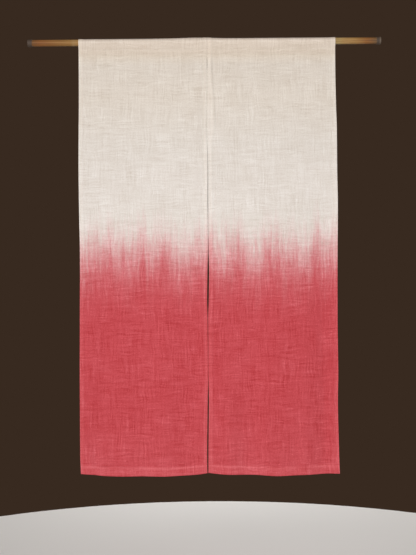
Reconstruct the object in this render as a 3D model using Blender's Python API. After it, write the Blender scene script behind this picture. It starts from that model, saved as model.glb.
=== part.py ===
"""A noren curtain of two cloth widths, hanging from a plain wooden rod with a cap on each end.

Units are metres. The origin is the middle of the left cap's outer face, +X runs along the rod,
+Z is up, and the front of the cloth faces -Y. Depths are measured downwards from the rod's axis,
and the tables' x values from the middle of the cloth.
"""

import math
from typing import NamedTuple

import bmesh
import bpy

# Rod and end caps
SPAN = 1.205
ROD_RADIUS = 0.011
ROD_SIDES = 32
CAP_LENGTH = 0.015
CAP_RADIUS = 0.0125
CAP_SOCKET_DEPTH = 0.012
CAP_EDGE = 0.001
CAP_EDGE_STEPS = 2
FIT_GAP = 0.0003

# Cloth and hems
CLOTH_MIDDLE = 0.6125
LAYER = 0.0012
SIDE_HEM = 0.014
FOOT_HEM = 0.034
HEM_STEP = 0.001
STITCH_DEPTH = 0.046

# Sleeve round the rod
SLEEVE_GAP = 0.0004
SLEEVE_MEET_DEPTH = 0.026
SLEEVE_STEPS = 16

# How finely each panel is divided
FIELD_COLUMNS = 14
FIELD_ROWS = 24


class Level(NamedTuple):
    """The cloth's edges at one depth: outer edges, slit line and the width of the slit there."""

    depth: float
    left: float
    slit: float
    gap: float
    right: float


class Column(NamedTuple):
    """An upright line on a panel: its share of the width, plus an offset, and if it is hemmed."""

    share: float
    offset: float
    hemmed: bool


class Foot(NamedTuple):
    """How deep the bottom edge hangs at one x."""

    x: float
    depth: float


class Lift(NamedTuple):
    """How far the sleeve's top stands off the rod at one x."""

    x: float
    height: float


class Fold(NamedTuple):
    """A soft fold: its x at the foot, half width, the depth it grows from, lean and swing in y."""

    x: float
    half_width: float
    start: float
    lean: float
    swing: float


LEVELS = (
    Level(-0.020, -0.4390, 0.0000, FIT_GAP, 0.4365),
    Level(0.110, -0.4392, -0.0010, FIT_GAP, 0.4366),
    Level(0.220, -0.4400, -0.0025, FIT_GAP, 0.4380),
    Level(0.300, -0.4412, -0.0035, FIT_GAP, 0.4400),
    Level(0.440, -0.4425, -0.0010, 0.0012, 0.4402),
    Level(0.550, -0.4420, -0.0020, 0.0017, 0.4416),
    Level(0.700, -0.4402, -0.0020, 0.0025, 0.4398),
    Level(0.790, -0.4404, -0.0026, 0.0068, 0.4388),
    Level(0.870, -0.4415, -0.0042, 0.0066, 0.4383),
    Level(0.950, -0.4422, -0.0050, 0.0016, 0.4380),
    Level(1.130, -0.4438, -0.0052, 0.0006, 0.4388),
    Level(1.230, -0.4440, -0.0060, 0.0038, 0.4366),
    Level(1.400, -0.4439, -0.0088, 0.0045, 0.4388),
    Level(1.485, -0.4415, -0.0092, 0.0008, 0.4412),
)

LEFT_FOOT = (
    Foot(-0.445, 1.4705),
    Foot(-0.398, 1.4750),
    Foot(-0.360, 1.4802),
    Foot(-0.310, 1.4818),
    Foot(-0.160, 1.4818),
    Foot(-0.100, 1.4800),
    Foot(-0.050, 1.4775),
    Foot(-0.008, 1.4712),
)

RIGHT_FOOT = (
    Foot(-0.010, 1.4712),
    Foot(0.046, 1.4760),
    Foot(0.100, 1.4782),
    Foot(0.150, 1.4792),
    Foot(0.235, 1.4832),
    Foot(0.300, 1.4815),
    Foot(0.360, 1.4800),
    Foot(0.442, 1.4770),
)

SLEEVE_LIFTS = (
    Lift(-0.450, 0.0000),
    Lift(-0.220, 0.0000),
    Lift(-0.110, 0.0012),
    Lift(-0.040, 0.0029),
    Lift(0.011, 0.0020),
    Lift(0.050, 0.0006),
    Lift(0.120, 0.0000),
    Lift(0.450, 0.0000),
)

LEFT_FOLDS = (
    Fold(-0.440, 0.060, 0.90, -0.020, -0.0110),
    Fold(-0.345, 0.075, 0.25, 0.015, 0.0080),
    Fold(-0.243, 0.060, 0.06, 0.000, 0.0035),
    Fold(-0.158, 0.070, 0.45, -0.020, -0.0090),
    Fold(-0.065, 0.055, 0.10, -0.010, 0.0050),
    Fold(-0.008, 0.050, 0.80, 0.000, -0.0040),
)

RIGHT_FOLDS = (
    Fold(0.020, 0.065, 1.00, 0.030, -0.0120),
    Fold(0.115, 0.070, 0.30, 0.060, 0.0055),
    Fold(0.225, 0.085, 0.40, -0.015, -0.0085),
    Fold(0.354, 0.055, 0.60, 0.000, 0.0095),
    Fold(0.436, 0.050, 0.95, 0.010, -0.0100),
)


def clear_scene():
    """Remove everything that the scene starts with."""
    for obj in list(bpy.data.objects):
        bpy.data.objects.remove(obj, do_unlink=True)


def finish(name, colour, roughness):
    """A plain surface of one colour, given in linear light."""
    material = bpy.data.materials.new(name)
    material.use_nodes = True
    surface = material.node_tree.nodes["Principled BSDF"]
    surface.inputs["Base Color"].default_value = (*colour, 1.0)
    surface.inputs["Roughness"].default_value = roughness
    surface.inputs["Metallic"].default_value = 0.0
    return material


def ease(value):
    """Run smoothly from 0 to 1 as the value does."""
    value = min(max(value, 0.0), 1.0)
    return value * value * (3.0 - 2.0 * value)


def read_table(rows, column, at):
    """Read a column at a place between rows, as a smooth curve that never overshoots them."""
    places = [row[0] for row in rows]
    values = [getattr(row, column) for row in rows]
    at = min(max(at, places[0]), places[-1])
    here = sum(place <= at for place in places[1:-1])
    widths = [after - before for before, after in zip(places, places[1:])]
    rises = [(b - a) / width for a, b, width in zip(values, values[1:], widths)]
    slopes = [rises[0]]
    for before, after in zip(rises, rises[1:]):
        level = before * after <= 0.0
        slopes.append(0.0 if level else 2.0 * before * after / (before + after))
    slopes.append(rises[-1])
    width = widths[here]
    t = (at - places[here]) / width
    return (
        values[here] * (1 + 2 * t) * (1 - t) ** 2
        + values[here + 1] * t * t * (3 - 2 * t)
        + slopes[here] * width * t * (1 - t) ** 2
        + slopes[here + 1] * width * t * t * (t - 1)
    )


def slit_half(depth):
    """Half the gap between the panels at a depth, never less than half the fit gap."""
    return max(read_table(LEVELS, "gap", depth), FIT_GAP) / 2


def left_panel_edges(depth):
    """The left panel's outer and inner edge at a depth."""
    outer = read_table(LEVELS, "left", depth)
    return outer, read_table(LEVELS, "slit", depth) - slit_half(depth)


def right_panel_edges(depth):
    """The right panel's inner and outer edge at a depth."""
    outer = read_table(LEVELS, "right", depth)
    return read_table(LEVELS, "slit", depth) + slit_half(depth), outer


def swing_at(folds, x, depth):
    """How far the folds carry the cloth in y at a place; nothing moves above the stitch line."""
    total = 0.0
    for fold in folds:
        grown = ease((depth - fold.start) / (LEVELS[-1].depth - fold.start))
        middle = fold.x - fold.lean * (1.0 - grown)
        reach = abs(x - middle) / fold.half_width
        if reach < 1.0:
            total += fold.swing * grown * 0.5 * (1.0 + math.cos(math.pi * reach))
    return total


def sleeve_profile(lift):
    """The sleeve's outer and inner walls as (y, z) pairs, from the front round the top to the back."""
    inner_radius = ROD_RADIUS + SLEEVE_GAP
    below = math.asin(inner_radius / SLEEVE_MEET_DEPTH)
    outer, inner = [], []
    for step in range(SLEEVE_STEPS + 1):
        angle = -math.pi / 2 - below + step * (math.pi + 2 * below) / SLEEVE_STEPS
        raised = lift * max(math.cos(angle), 0.0)
        for wall, radius in ((outer, inner_radius + LAYER), (inner, inner_radius)):
            wall.append((radius * math.sin(angle), radius * math.cos(angle) + raised))
    return outer, inner, LAYER * math.tan(below / 2)


def row_depths(foot):
    """Depths of the rows below the sleeve, from the stitch line to the bottom edge."""
    top = STITCH_DEPTH + HEM_STEP
    bottom = foot - FOOT_HEM - HEM_STEP
    field = [top + (bottom - top) * i / FIELD_ROWS for i in range(FIELD_ROWS + 1)]
    return [STITCH_DEPTH, *field, foot - FOOT_HEM, foot]


def panel_columns():
    """The upright lines that a panel's cross-sections stand on, from its left edge to its right."""
    inset = SIDE_HEM + HEM_STEP
    shares = [i / FIELD_COLUMNS for i in range(FIELD_COLUMNS + 1)]
    return [
        Column(0.0, 0.0, True),
        Column(0.0, SIDE_HEM, True),
        *[Column(share, inset * (1 - 2 * share), False) for share in shares],
        Column(1.0, -SIDE_HEM, True),
        Column(1.0, 0.0, True),
    ]


def column_x(edges, column, depth):
    """Where a column stands at a depth, as the panel's edges drift."""
    left, right = edges(depth)
    return left + column.share * (right - left) + column.offset


def section(edges, foots, folds, column):
    """One upright cross-section of a panel: its outer loop and the loop round its tunnel."""
    foot = read_table(foots, "depth", column_x(edges, column, foots[0].depth))
    lift = read_table(SLEEVE_LIFTS, "height", column_x(edges, column, 0.0))
    outer, inner, dip = sleeve_profile(lift)
    meet = column_x(edges, column, SLEEVE_MEET_DEPTH)
    join = -SLEEVE_MEET_DEPTH - dip
    front, back = [], []
    depths = row_depths(foot)
    for index, depth in enumerate(depths):
        doubled = column.hemmed or index == 0 or index >= len(depths) - 2
        x = column_x(edges, column, depth)
        y = swing_at(folds, x, depth) - LAYER
        front.append((x, y, -depth))
        back.append((x, y + LAYER * (2 if doubled else 1), -depth))
    loop = [*reversed(front), (meet, -LAYER, join)]
    loop += [(column_x(edges, column, -z), y, z) for y, z in outer]
    loop += [(meet, LAYER, join), *back]
    tunnel = [(meet, 0.0, -SLEEVE_MEET_DEPTH)]
    tunnel += [(column_x(edges, column, -z), y, z) for y, z in inner]
    return loop, tunnel


def ladder_faces(loop, tunnel):
    """End faces of a panel: the sheet's strip up to the sleeve, then the ring round the tunnel."""
    sheet = (len(loop) - SLEEVE_STEPS - 3) // 2
    faces = []
    for i in range(sheet):
        faces.append((loop[i], loop[i + 1], loop[-2 - i], loop[-1 - i]))
    front_join, back_join = loop[sheet], loop[-1 - sheet]
    faces.append((front_join, tunnel[0], back_join))
    faces.append((front_join, loop[sheet + 1], tunnel[1], tunnel[0]))
    for i in range(SLEEVE_STEPS):
        faces.append((loop[sheet + 1 + i], loop[sheet + 2 + i], tunnel[2 + i], tunnel[1 + i]))
    faces.append((loop[sheet + 1 + SLEEVE_STEPS], back_join, tunnel[0], tunnel[-1]))
    return faces


def build_panel(name, edges, foots, folds, material):
    """Loft a panel through its cross-sections and close its two ends."""
    mesh_data = bmesh.new()
    loops, tunnels = [], []
    for column in panel_columns():
        loop, tunnel = section(edges, foots, folds, column)
        loops.append([mesh_data.verts.new(point) for point in loop])
        tunnels.append([mesh_data.verts.new(point) for point in tunnel])
    for rings in (loops, tunnels):
        for here, there in zip(rings, rings[1:]):
            for i in range(len(here)):
                j = (i + 1) % len(here)
                mesh_data.faces.new((here[i], here[j], there[j], there[i]))
    for side in (0, -1):
        for face in ladder_faces(loops[side], tunnels[side]):
            mesh_data.faces.new(face)
    bmesh.ops.recalc_face_normals(mesh_data, faces=mesh_data.faces)
    bmesh.ops.triangulate(mesh_data, faces=mesh_data.faces)
    panel = add_object(name, mesh_data, material)
    panel.location.x = CLOTH_MIDDLE
    return panel


def add_object(name, mesh_data, material):
    """Turn a bmesh into an object of the scene with its material."""
    mesh = bpy.data.meshes.new(name)
    mesh_data.to_mesh(mesh)
    mesh_data.free()
    mesh.materials.append(material)
    mesh.shade_smooth()
    mesh.set_sharp_from_angle(angle=math.radians(35))
    obj = bpy.data.objects.new(name, mesh)
    bpy.context.scene.collection.objects.link(obj)
    return obj


def build_turned(name, outline, origin, direction, material):
    """Turn a closed (along, radius) outline round the rod's axis."""
    mesh_data = bmesh.new()
    rings = []
    for along, radius in outline:
        x = origin + direction * along
        if radius == 0.0:
            rings.append([mesh_data.verts.new((x, 0.0, 0.0))])
            continue
        angles = [2 * math.pi * i / ROD_SIDES for i in range(ROD_SIDES)]
        ring = [(x, radius * math.cos(a), radius * math.sin(a)) for a in angles]
        rings.append([mesh_data.verts.new(point) for point in ring])
    for here, there in zip(rings, rings[1:]):
        for i in range(ROD_SIDES):
            j = (i + 1) % ROD_SIDES
            corners = [here[i % len(here)], here[j % len(here)]]
            corners += [there[j % len(there)], there[i % len(there)]]
            mesh_data.faces.new(list(dict.fromkeys(corners)))
    bmesh.ops.recalc_face_normals(mesh_data, faces=mesh_data.faces)
    return add_object(name, mesh_data, material)


def build_rod(material):
    """The plain rod, whose ends sit in the caps' sockets."""
    seat = CAP_LENGTH - CAP_SOCKET_DEPTH + FIT_GAP
    length = SPAN - 2 * seat
    outline = ((0.0, 0.0), (0.0, ROD_RADIUS), (length, ROD_RADIUS), (length, 0.0))
    return build_turned("rod", outline, seat, 1, material)


def build_cap(name, origin, direction, material):
    """A cup that fits over one end of the rod, its outer edge rounded."""
    outline = [(0.0, 0.0)]
    for step in range(CAP_EDGE_STEPS + 1):
        turn = math.pi / 2 * step / CAP_EDGE_STEPS
        along = CAP_EDGE * (1 - math.sin(turn))
        radius = CAP_RADIUS - CAP_EDGE * (1 - math.cos(turn))
        outline.insert(1, (along, radius))
    socket = ROD_RADIUS + FIT_GAP
    floor = CAP_LENGTH - CAP_SOCKET_DEPTH
    outline += [(CAP_LENGTH, CAP_RADIUS), (CAP_LENGTH, socket), (floor, socket), (floor, 0.0)]
    return build_turned(name, outline, origin, direction, material)


def main():
    """Build the curtain and its rod."""
    clear_scene()
    cloth = finish("dyed_linen", (0.552, 0.070, 0.082), 0.9)
    wood = finish("brown_wood", (0.251, 0.123, 0.044), 0.5)
    rubber = finish("grey_rubber", (0.138, 0.102, 0.071), 0.7)
    build_panel("panel_left", left_panel_edges, LEFT_FOOT, LEFT_FOLDS, cloth)
    build_panel("panel_right", right_panel_edges, RIGHT_FOOT, RIGHT_FOLDS, cloth)
    build_rod(wood)
    build_cap("end_cap_left", 0.0, 1, rubber)
    build_cap("end_cap_right", SPAN, -1, rubber)


main()
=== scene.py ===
"""The looks of a noren curtain on its rod: linen widths, dip-dyed from their feet, sewn side by side.

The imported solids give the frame, in metres: +X runs along the rod, +Z is up, and the cloth's front
faces -Y. Each width of cloth is one thin sheet with its hems turned, hung in folds much like those of
its solid. Depths are measured down from the rod's axis, and x values of the tables from the middle of
the cloth.
"""

import logging
import math
from dataclasses import dataclass, field
from enum import Enum
from typing import Any, NamedTuple, Optional, Sequence

import bpy
import numpy as np
from mathutils import Matrix, Vector


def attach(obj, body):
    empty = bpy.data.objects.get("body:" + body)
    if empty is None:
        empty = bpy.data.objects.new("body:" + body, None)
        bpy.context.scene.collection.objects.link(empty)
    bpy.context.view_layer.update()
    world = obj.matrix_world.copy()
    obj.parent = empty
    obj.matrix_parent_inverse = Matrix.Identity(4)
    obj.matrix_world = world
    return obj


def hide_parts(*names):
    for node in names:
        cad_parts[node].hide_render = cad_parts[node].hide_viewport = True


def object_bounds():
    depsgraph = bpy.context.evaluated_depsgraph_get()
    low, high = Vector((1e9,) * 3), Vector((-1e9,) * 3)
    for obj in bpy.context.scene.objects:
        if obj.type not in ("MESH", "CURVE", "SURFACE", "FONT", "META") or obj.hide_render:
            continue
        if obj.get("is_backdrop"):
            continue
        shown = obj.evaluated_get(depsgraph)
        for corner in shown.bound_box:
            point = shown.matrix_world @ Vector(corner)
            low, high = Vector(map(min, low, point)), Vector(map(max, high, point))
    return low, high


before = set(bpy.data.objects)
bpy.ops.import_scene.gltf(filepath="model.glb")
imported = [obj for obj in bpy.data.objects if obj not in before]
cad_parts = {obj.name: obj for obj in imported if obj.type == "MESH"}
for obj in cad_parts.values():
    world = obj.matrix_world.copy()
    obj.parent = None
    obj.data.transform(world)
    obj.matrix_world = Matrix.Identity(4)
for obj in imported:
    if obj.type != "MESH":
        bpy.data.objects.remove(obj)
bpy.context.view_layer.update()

MM = 0.001
BODY = "root"
CLOTH_UV = "ClothMetres"
# A sheet's tone: how second layers pale it, with painted highlights and painted shade.
TONE_ATTRIBUTE = "layers"
PHOTO_WIDTH, PHOTO_HEIGHT = 416, 555

# The curve of the sRGB standard.
SRGB_KNEE, SRGB_SLOPE, SRGB_OFFSET, SRGB_POWER = 0.04045, 12.92, 0.055, 2.4

# Blender's wave texture turns through this many radians in one unit at a scale of 1.
WAVE_RADIANS = 20.0

MATH = "ShaderNodeMath"
VECTOR_MATH = "ShaderNodeVectorMath"
MAP_RANGE = "ShaderNodeMapRange"
NOISE = "ShaderNodeTexNoise"
RAMP = "ShaderNodeValToRGB"
SPLIT = "ShaderNodeSeparateXYZ"
ADD = {"operation": "ADD"}
SUBTRACT = {"operation": "SUBTRACT"}
MULTIPLY = {"operation": "MULTIPLY"}
MULTIPLY_ADD = {"operation": "MULTIPLY_ADD"}
CLAMPED = {"clamp": True}
FLAT = {"noise_dimensions": "2D"}
FILTERED = {"data_type": "RGBA", "blend_type": "MULTIPLY"}

Tree = bpy.types.NodeTree
Node = bpy.types.Node
Socket = bpy.types.NodeSocket

log = logging.getLogger("noren")


class Side(Enum):
    """Which of the widths of cloth a panel is."""

    LEFT = "left"
    RIGHT = "right"


class Level(NamedTuple):
    """The cloth's edges at one depth: outer edges, slit line and the width of the slit there."""

    depth: float
    left: float
    slit: float
    gap: float
    right: float


class Foot(NamedTuple):
    """How deep the bottom edge hangs at one x."""

    x: float
    depth: float


class Lift(NamedTuple):
    """How far the sleeve's top stands off the rod at one x."""

    x: float
    height: float


class Hem(NamedTuple):
    """How wide the inner side hem is at one depth; above the slit it is the seam's allowance."""

    depth: float
    width: float


class Fold(NamedTuple):
    """A soft fold: its x at the foot, half width, the depth it grows from, lean and swing in y."""

    x: float
    half_width: float
    start: float
    lean: float
    swing: float


class Crease(NamedTuple):
    """A soft ridge (negative height) or trough between two places, each an x and a depth."""

    x_from: float
    depth_from: float
    x_to: float
    depth_to: float
    half_width: float
    height: float


class Tongue(NamedTuple):
    """How far up the dye has crept at one x, beside its mean line, in millimetres."""

    x: float
    rise: float


class Soak(NamedTuple):
    """How much dye the cloth holds so many millimetres below the dye's mean line."""

    below: float
    share: float


class Slub(NamedTuple):
    """Unevenness of the yarn or the dye: its width and length in millimetres, and how strong it is."""

    width: float
    length: float
    strength: float


SEAM_GAP = 0.0001

# The rows below were chosen from the enlarged photo, helped by printed measurements of its edges
# and its brightness, and rounded. Down to about 0.3 m a seam holds the widths SEAM_GAP apart, but for a
# small opening under the sleeve.
LEVELS = (
    Level(-0.020, -0.4390, 0.0000, SEAM_GAP, 0.4365),
    Level(0.048, -0.4391, -0.0008, SEAM_GAP, 0.4365),
    Level(0.066, -0.4391, -0.0009, 0.0009, 0.4365),
    Level(0.110, -0.4392, -0.0010, SEAM_GAP, 0.4366),
    Level(0.220, -0.4400, -0.0025, SEAM_GAP, 0.4380),
    Level(0.300, -0.4412, -0.0035, SEAM_GAP, 0.4400),
    Level(0.440, -0.4425, -0.0010, 0.0012, 0.4402),
    Level(0.550, -0.4420, -0.0020, 0.0017, 0.4416),
    Level(0.630, -0.4412, -0.0020, 0.0008, 0.4408),
    Level(0.700, -0.4402, -0.0020, 0.0016, 0.4398),
    Level(0.790, -0.4404, -0.0026, 0.0058, 0.4388),
    Level(0.870, -0.4415, -0.0042, 0.0058, 0.4383),
    Level(0.950, -0.4422, -0.0050, 0.0016, 0.4380),
    Level(1.130, -0.4438, -0.0052, 0.0006, 0.4388),
    Level(1.230, -0.4440, -0.0060, 0.0042, 0.4366),
    Level(1.400, -0.4439, -0.0088, 0.0045, 0.4388),
    Level(1.455, -0.4425, -0.0091, 0.0040, 0.4403),
    Level(1.485, -0.4415, -0.0092, 0.0008, 0.4412),
)

FEET = {
    Side.LEFT: (
        Foot(-0.445, 1.4705),
        Foot(-0.398, 1.4750),
        Foot(-0.360, 1.4802),
        Foot(-0.310, 1.4818),
        Foot(-0.160, 1.4818),
        Foot(-0.100, 1.4800),
        Foot(-0.050, 1.4775),
        Foot(-0.008, 1.4712),
    ),
    Side.RIGHT: (
        Foot(-0.010, 1.4712),
        Foot(0.046, 1.4760),
        Foot(0.100, 1.4782),
        Foot(0.150, 1.4792),
        Foot(0.235, 1.4832),
        Foot(0.300, 1.4815),
        Foot(0.360, 1.4800),
        Foot(0.442, 1.4770),
    ),
}

# The sleeve stands off the rod a little beside the seam.
SLEEVE_LIFTS = (
    Lift(-0.450, 0.0000),
    Lift(-0.220, 0.0000),
    Lift(-0.110, 0.0012),
    Lift(-0.040, 0.0029),
    Lift(0.011, 0.0020),
    Lift(0.050, 0.0006),
    Lift(0.120, 0.0000),
    Lift(0.450, 0.0000),
)

# A fold with a negative swing comes to the front.
FOLDS = {
    Side.LEFT: (
        Fold(-0.440, 0.060, 0.90, -0.020, -0.0060),
        Fold(-0.345, 0.075, 0.25, 0.015, 0.0050),
        Fold(-0.243, 0.060, 0.06, 0.000, 0.0035),
        Fold(-0.158, 0.070, 0.45, -0.020, -0.0060),
        Fold(-0.065, 0.055, 0.10, -0.010, 0.0022),
        Fold(-0.008, 0.050, 0.80, 0.000, -0.0040),
    ),
    Side.RIGHT: (
        Fold(0.060, 0.070, 1.00, 0.010, -0.0085),
        Fold(0.130, 0.070, 0.30, 0.045, 0.0025),
        Fold(0.225, 0.085, 0.40, -0.015, -0.0050),
        Fold(0.393, 0.075, 0.30, 0.000, 0.0120),
        Fold(0.442, 0.040, 0.95, 0.010, -0.0060),
    ),
}

# The small creases of the photo. A ridge, whose height is negative, stands towards the viewer.
CREASES = {
    Side.LEFT: (
        Crease(-0.420, 1.215, -0.392, 1.440, 0.012, 0.0009),
        Crease(-0.438, 1.330, -0.402, 1.452, 0.010, -0.0026),
        Crease(-0.175, 1.270, -0.140, 1.300, 0.014, -0.0011),
        Crease(-0.322, 1.425, -0.185, 1.436, 0.012, 0.0012),
        Crease(-0.059, 0.075, -0.070, 0.200, 0.016, -0.0012),
        Crease(-0.243, 0.095, -0.236, 0.230, 0.020, 0.0010),
        Crease(-0.300, 0.640, -0.285, 0.900, 0.018, -0.0008),
        Crease(-0.110, 0.830, -0.125, 1.080, 0.018, 0.0010),
        Crease(-0.018, 0.155, -0.016, 0.300, 0.009, 0.0016),
        Crease(-0.410, 1.130, -0.280, 1.090, 0.007, -0.0012),
        Crease(-0.395, 1.365, -0.180, 1.330, 0.012, -0.0009),
        Crease(-0.068, 1.457, -0.014, 1.446, 0.0045, -0.0014),
        Crease(-0.432, 1.452, -0.385, 1.457, 0.0045, -0.0014),
    ),
    Side.RIGHT: (
        Crease(0.010, 0.357, 0.119, 0.300, 0.014, -0.0013),
        Crease(0.045, 0.425, 0.100, 0.390, 0.012, -0.0010),
        Crease(0.047, 1.277, 0.156, 1.320, 0.012, -0.0013),
        Crease(0.012, 1.395, 0.040, 1.445, 0.007, -0.0028),
        Crease(0.000, 1.447, 0.026, 1.449, 0.0045, -0.0015),
        Crease(0.410, 1.300, 0.428, 1.392, 0.011, -0.0015),
        Crease(0.366, 0.880, 0.372, 1.450, 0.018, -0.0022),
        Crease(0.0085, 0.046, 0.0120, 0.160, 0.0060, -0.0030),
        Crease(0.0120, 0.150, 0.0175, 0.275, 0.0075, -0.0022),
        Crease(0.200, 0.560, 0.215, 0.800, 0.018, -0.0008),
        Crease(0.330, 0.110, 0.345, 0.300, 0.020, 0.0009),
    ),
}

# The right hem is wide at the end of the seam, where its allowance runs into the hem.
INNER_HEMS = {
    Side.LEFT: (Hem(-0.130, 0.0130), Hem(0.300, 0.0130), Hem(1.500, 0.0140)),
    Side.RIGHT: (
        Hem(-0.130, 0.0125),
        Hem(0.050, 0.0135),
        Hem(0.290, 0.0265),
        Hem(0.335, 0.0180),
        Hem(0.400, 0.0140),
        Hem(1.500, 0.0145),
    ),
}


@dataclass(frozen=True)
class Track:
    """A smooth curve through a table's rows that never overshoots them."""

    places: tuple[float, ...]
    values: tuple[float, ...]

    @classmethod
    def through(cls, rows: Sequence[NamedTuple], column: str) -> "Track":
        """Make a curve from a table's first column and a named one."""
        return cls(tuple(row[0] for row in rows), tuple(getattr(row, column) for row in rows))

    def at(self, where: np.ndarray) -> np.ndarray:
        """Read the curve.

        Args:
            where: Places along the table's first column, in any shape.

        Returns:
            The values there, in the same shape.
        """
        places, values = np.array(self.places), np.array(self.values)
        where = np.clip(where, places[0], places[-1])
        widths = np.diff(places)
        rises = np.diff(values) / widths
        before, after = rises[:-1], rises[1:]
        same_way = before * after > 0
        total = np.where(same_way, before + after, 1.0)
        inner = np.where(same_way, 2 * before * after / total, 0.0)
        slopes = np.concatenate([rises[:1], inner, rises[-1:]])
        here = np.clip(np.searchsorted(places, where, side="right") - 1, 0, len(widths) - 1)
        t = (where - places[here]) / widths[here]
        return (
            values[here] * (1 + 2 * t) * (1 - t) ** 2
            + values[here + 1] * t * t * (3 - 2 * t)
            + slopes[here] * widths[here] * t * (1 - t) ** 2
            + slopes[here + 1] * widths[here] * t * t * (t - 1)
        )


def ease(value: np.ndarray) -> np.ndarray:
    """Run smoothly from 0 to 1 as the value does."""
    value = np.clip(value, 0.0, 1.0)
    return value * value * (3.0 - 2.0 * value)


@dataclass(frozen=True)
class Ripple:
    """Smooth, repeatable unevenness with a pitch of its own across and along the cloth."""

    across: float
    along: float
    height: float
    seed: int
    cells: int = 97
    origin: float = -1.0

    def at(self, x: np.ndarray, depth: np.ndarray) -> np.ndarray:
        """Height of the unevenness at places of the cloth.

        Args:
            x: Places across the cloth.
            depth: Depths below the rod's axis, in the same shape.

        Returns:
            The heights, in the same shape.
        """
        lattice = np.random.default_rng(self.seed).uniform(-1, 1, (self.cells, self.cells))
        u, v = (x - self.origin) / self.across, (depth - self.origin) / self.along
        i, j = np.floor(u).astype(int), np.floor(v).astype(int)
        s, t = ease(u - i), ease(v - j)
        i, j, k, m = i % self.cells, j % self.cells, (i + 1) % self.cells, (j + 1) % self.cells
        near = lattice[i, j] * (1 - s) + lattice[k, j] * s
        far = lattice[i, m] * (1 - s) + lattice[k, m] * s
        return self.height * (near * (1 - t) + far * t)


def step(value: np.ndarray, width: float) -> np.ndarray:
    """Run smoothly from 0 to 1 over a width that is centred where the value is 0."""
    return ease(value / width + 0.5)


def linear(hex_colour: str) -> tuple[float, float, float, float]:
    """Turn an sRGB hex colour into linear light.

    Args:
        hex_colour: The colour, as a number sign and six digits.

    Returns:
        Red, green, blue and full alpha.
    """
    parts = [int(hex_colour[start : start + 2], 16) / 255 for start in (1, 3, 5)]
    shares = [
        c / SRGB_SLOPE if c <= SRGB_KNEE else ((c + SRGB_OFFSET) / (1 + SRGB_OFFSET)) ** SRGB_POWER
        for c in parts
    ]
    return (shares[0], shares[1], shares[2], 1.0)


def add_node(
    tree: Tree,
    kind: str,
    settings: Optional[dict[str, Any]] = None,
    inputs: Optional[dict[Any, Any]] = None,
) -> Node:
    """Add a node with its settings, values and links.

    Args:
        tree: The material's node tree.
        kind: The node's type, such as ShaderNodeMath.
        settings: Options to set on the node.
        inputs: For each input, a value or the output socket that feeds it.

    Returns:
        The new node.
    """
    node = tree.nodes.new(kind)
    for name, value in (settings or {}).items():
        setattr(node, name, value)
    for key, value in (inputs or {}).items():
        if isinstance(value, Socket):
            tree.links.new(value, node.inputs[key])
        else:
            node.inputs[key].default_value = value
    return node


def set_stops(ramp: bpy.types.ColorRamp, stops: Sequence[tuple[float, Sequence[float]]]) -> None:
    """Give a colour ramp its stops.

    Args:
        ramp: The ramp.
        stops: For each stop, its place from 0 to 1 and its linear colour.
    """
    while len(ramp.elements) < len(stops):
        ramp.elements.new(1.0)
    for element, (place, colour) in zip(ramp.elements, stops):
        element.position = place
        element.color = colour


def set_curve(mapping: bpy.types.CurveMapping, points: Sequence[tuple[float, float]]) -> None:
    """Give a float curve its points.

    Args:
        mapping: The curve's mapping.
        points: The points, each from 0 to 1 both ways.
    """
    curve = mapping.curves[0]
    while len(curve.points) < len(points):
        curve.points.new(1.0, 0.5)
    for point, place in zip(curve.points, points):
        point.location = place
    mapping.update()


def new_material(name: str) -> tuple[bpy.types.Material, Tree, Node]:
    """Start a material.

    Args:
        name: The material's name.

    Returns:
        The material, its node tree and its surface shader.
    """
    material = bpy.data.materials.new(name)
    material.use_nodes = True
    return material, material.node_tree, material.node_tree.nodes["Principled BSDF"]


class Texture(NamedTuple):
    """A surface's bump, its height in metres, how much its pattern roughens it, and its roughness."""

    bump: float
    height: float
    unevenness: float
    roughness: float


def give_texture(tree: Tree, surface: Node, texture: Texture, relief: Socket, pattern: Socket) -> None:
    """Give a surface its relief and an uneven roughness.

    Args:
        tree: The material's node tree.
        surface: The surface shader that takes them.
        texture: How strong they are.
        relief: The heights of the relief.
        pattern: The pattern that the roughness follows.
    """
    heights = {"Strength": texture.bump, "Distance": texture.height, "Height": relief}
    bump = add_node(tree, "ShaderNodeBump", None, heights)
    tree.links.new(bump.outputs[0], surface.inputs["Normal"])
    rough = add_node(tree, MATH, MULTIPLY_ADD, {0: pattern, 1: texture.unevenness, 2: texture.roughness})
    tree.links.new(rough.outputs[0], surface.inputs["Roughness"])


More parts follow.
